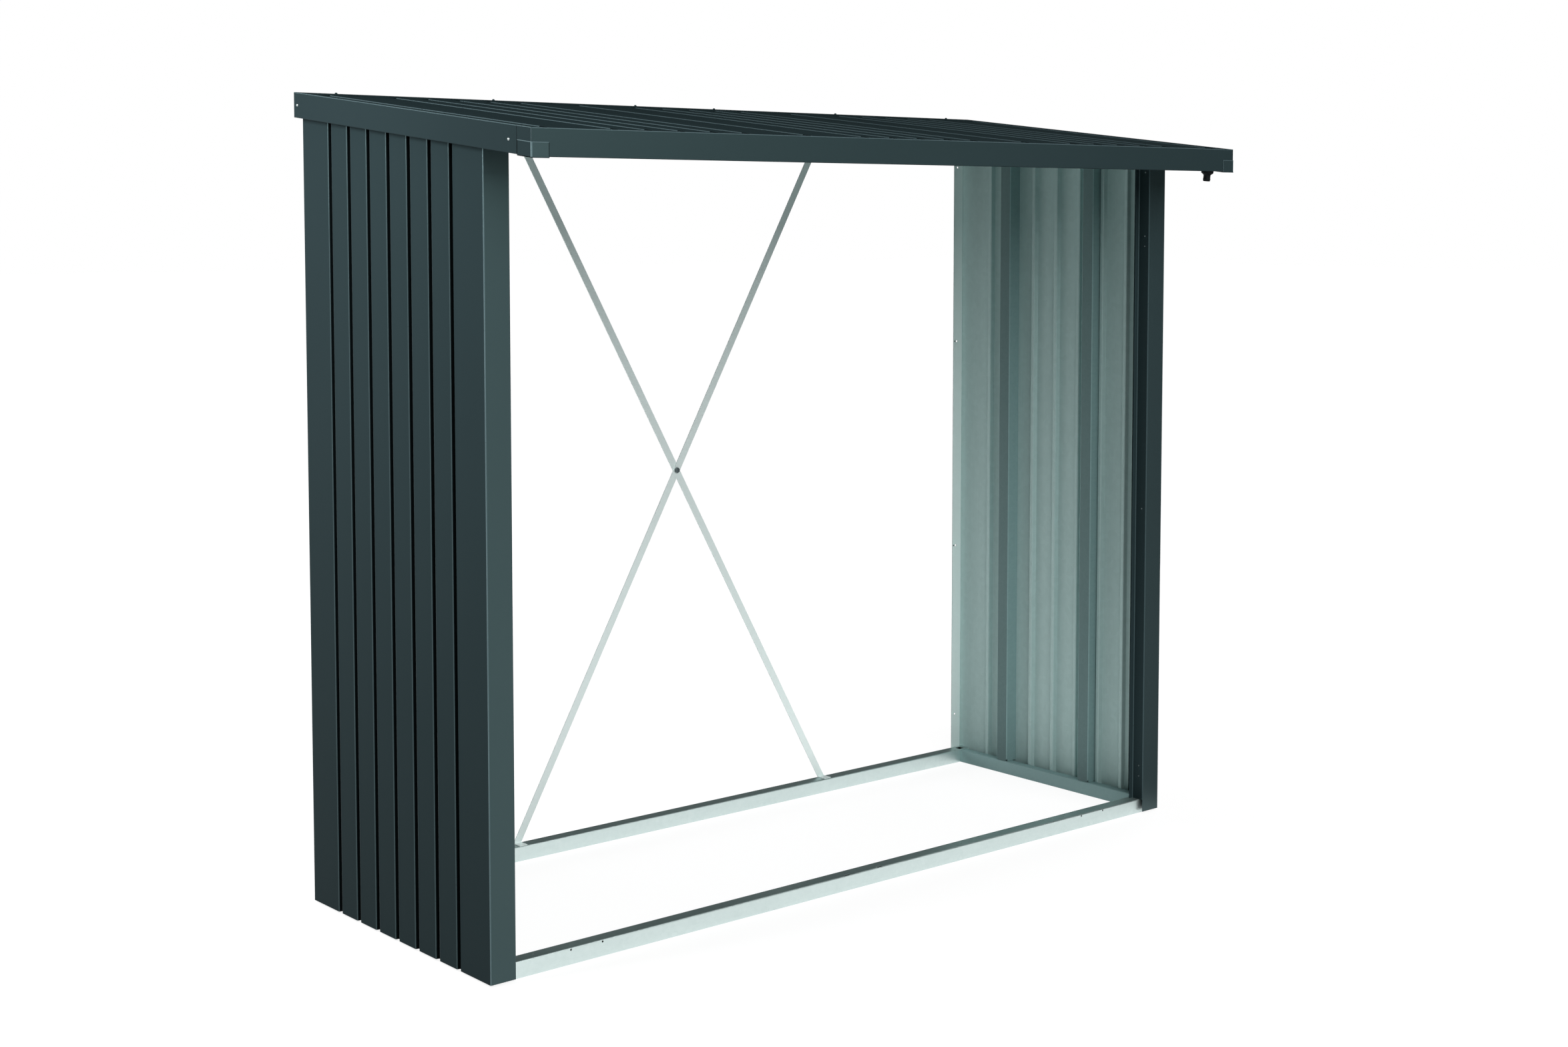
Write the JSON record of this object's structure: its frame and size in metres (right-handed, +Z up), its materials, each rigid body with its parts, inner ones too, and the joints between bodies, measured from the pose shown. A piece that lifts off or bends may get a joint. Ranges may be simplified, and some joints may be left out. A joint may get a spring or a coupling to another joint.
{
  "type": "log store",
  "caption": "Open-fronted log store of grooved sheet steel with a base frame, two side walls, cross bracing, a roof that slopes to a front gutter and a drain spout.",
  "frame": {"origin": "on the ground, under the middle of the store's box", "axes": "+X along the store's width, +Y from the open front to the rear, +Z up"},
  "size_m": [2.2924, 1.0194, 1.9885],
  "materials": {
    "zinc_frame": "galvanised, dull",
    "zinc_strap": "galvanised, dull",
    "zinc_bolt": "zinc plated",
    "painted_wall": "anthracite, satin",
    "painted_post": "anthracite, satin",
    "painted_roof": "anthracite, satin",
    "painted_roof_edge": "anthracite, satin",
    "black_plastic": "moulded, matte"
  },
  "bodies": {
    "root": {"base_front_rail": "zinc_frame", "base_left_rail": "zinc_frame", "base_rear_rail": "zinc_frame", "base_right_rail": "zinc_frame", "brace_bolt": "zinc_bolt", "brace_strap_rising_left": "zinc_strap", "brace_strap_rising_right": "zinc_strap", "drain_spout": "black_plastic", "front_gutter": "painted_roof_edge", "front_header": "zinc_frame", "gutter_corner_clip_left": "painted_roof_edge", "gutter_corner_clip_right": "painted_roof_edge", "gutter_end_cap_left": "painted_roof_edge", "gutter_end_cap_right": "painted_roof_edge", "left_fascia": "painted_roof_edge", "left_front_post": "painted_post", "left_wall_front_stiffener": "zinc_frame", "left_wall_rear_stiffener": "zinc_frame", "left_wall_sheet": "painted_wall", "rear_header": "zinc_frame", "rear_roof_trim": "painted_roof_edge", "right_fascia": "painted_roof_edge", "right_front_post": "painted_post", "right_wall_front_stiffener": "zinc_frame", "right_wall_rear_stiffener": "zinc_frame", "right_wall_sheet": "painted_wall", "roof_panel_left": "painted_roof", "roof_panel_middle": "painted_roof", "roof_panel_right": "painted_roof"}
  },
  "joints": []
}
